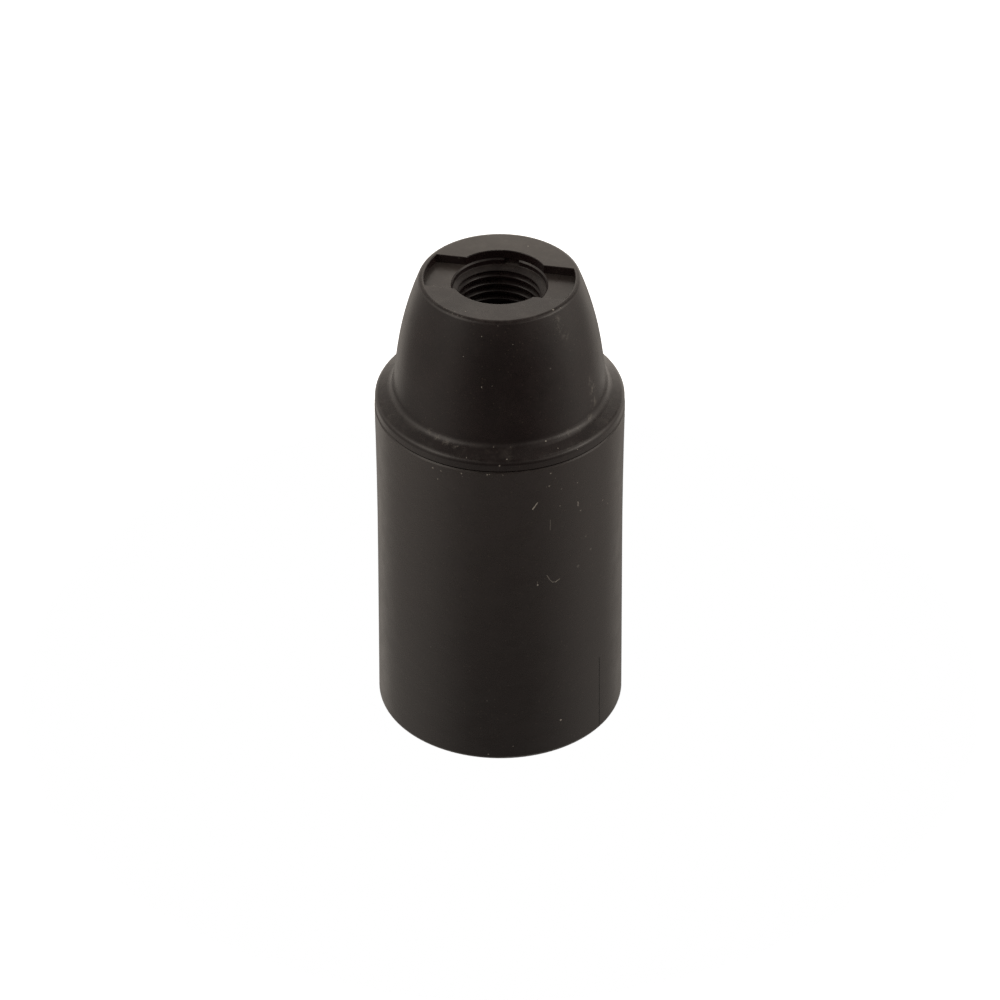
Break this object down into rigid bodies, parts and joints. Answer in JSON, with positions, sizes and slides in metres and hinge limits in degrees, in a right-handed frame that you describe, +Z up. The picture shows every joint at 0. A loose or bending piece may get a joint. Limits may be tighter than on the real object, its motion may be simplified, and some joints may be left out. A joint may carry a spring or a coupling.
{
  "type": "lamp holder",
  "caption": "Small Edison screw lamp holder with a plain cylindrical shell, a screwed domed cap with a threaded cord entry, and a ceramic terminal block with spring contacts inside.",
  "frame": {"origin": "centre of the mouth rim, on the holder's axis, at the surface it stands on", "axes": "+Z up along the axis, from the mouth to the cord entry; +Y away from the front; the live terminal lies on -X"},
  "size_m": [0.028, 0.028, 0.0564],
  "materials": {
    "moulding": "semi-matt brown-black moulding",
    "steatite": "unglazed cream ceramic",
    "bronze": "spring bronze strip",
    "brass": "stamped brass",
    "plated_steel": "nickel plated"
  },
  "bodies": {
    "cap": {"cap": "moulding"},
    "core": {"terminal_block": "steatite", "centre_contact": "bronze", "side_contact": "bronze", "live_terminal_plate": "brass", "neutral_terminal_plate": "brass", "live_rivet": "brass", "neutral_rivet": "brass"},
    "shell": {"shell": "moulding"},
    "live_clamp": {"live_clamp_washer": "plated_steel"},
    "neutral_clamp": {"neutral_clamp_washer": "plated_steel"},
    "live_screw": {"live_terminal_screw": "plated_steel"},
    "neutral_screw": {"neutral_terminal_screw": "plated_steel"}
  },
  "joints": [
    {"name": "core_slide", "type": "slide", "parent": "cap", "child": "core", "axis": [0, 0, -1], "range_m": [0, 0.008]},
    {"name": "shell_unscrew", "type": "hinge", "parent": "core", "child": "shell", "pos_m": [0, 0, 0.02], "axis": [0, 0, -1], "range_deg": [0, 1440]},
    {"name": "live_clamp_lift", "type": "slide", "parent": "core", "child": "live_clamp", "axis": [0, 0, 1], "range_m": [0, 0.0015]},
    {"name": "live_screw_turn", "type": "hinge", "parent": "live_clamp", "child": "live_screw", "pos_m": [-0.005, -0.0024, 0.036], "axis": [0, 0, 1], "range_deg": [0, 1080]},
    {"name": "neutral_clamp_lift", "type": "slide", "parent": "core", "child": "neutral_clamp", "axis": [0, 0, 1], "range_m": [0, 0.0015]},
    {"name": "neutral_screw_turn", "type": "hinge", "parent": "neutral_clamp", "child": "neutral_screw", "pos_m": [0.005, 0.0024, 0.036], "axis": [0, 0, 1], "range_deg": [0, 1080]}
  ],
  "couplings": [
    {"joint": "core_slide", "follows": "shell_unscrew", "m_per_rad": 0.0003183},
    {"joint": "live_screw_turn", "follows": "live_clamp_lift", "rad_per_m": 12566},
    {"joint": "neutral_screw_turn", "follows": "neutral_clamp_lift", "rad_per_m": 12566}
  ]
}
